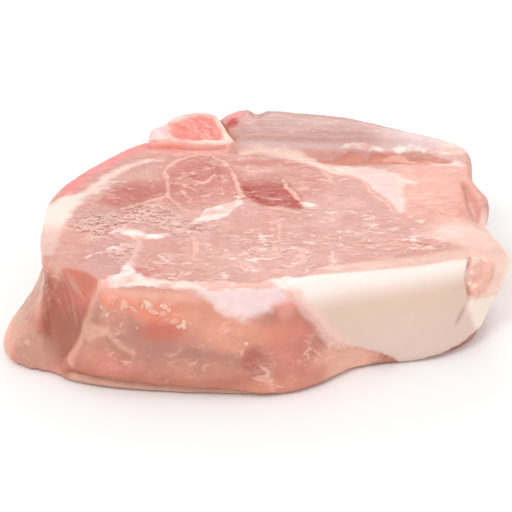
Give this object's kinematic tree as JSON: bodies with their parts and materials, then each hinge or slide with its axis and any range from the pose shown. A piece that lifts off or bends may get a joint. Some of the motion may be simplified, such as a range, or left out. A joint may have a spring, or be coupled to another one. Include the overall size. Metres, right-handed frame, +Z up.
{
  "type": "raw pork chop",
  "caption": "Thick raw bone-in pork chop lying on one cut face, with a fat cap along its front edge, a folded flap and a sawn bone end.",
  "frame": {"origin": "centre of the chop's box, on the surface it lies on", "axes": "+X along the chop's longest side, to the right seen from the fat cap's side; +Y to the back, where the bone is; +Z up"},
  "size_m": [0.1697, 0.1426, 0.0395],
  "materials": {
    "lean": "moist raw lean meat, pale pink with fine white marbling and a wet sheen",
    "fat": "smooth creamy white raw fat, softly shining",
    "bone": "damp sawn bone, salmon pink marrow inside a cream rim"
  },
  "bodies": {
    "root": {"lean_meat": "lean", "fat_cap": "fat", "bone_end": "bone"}
  },
  "joints": []
}
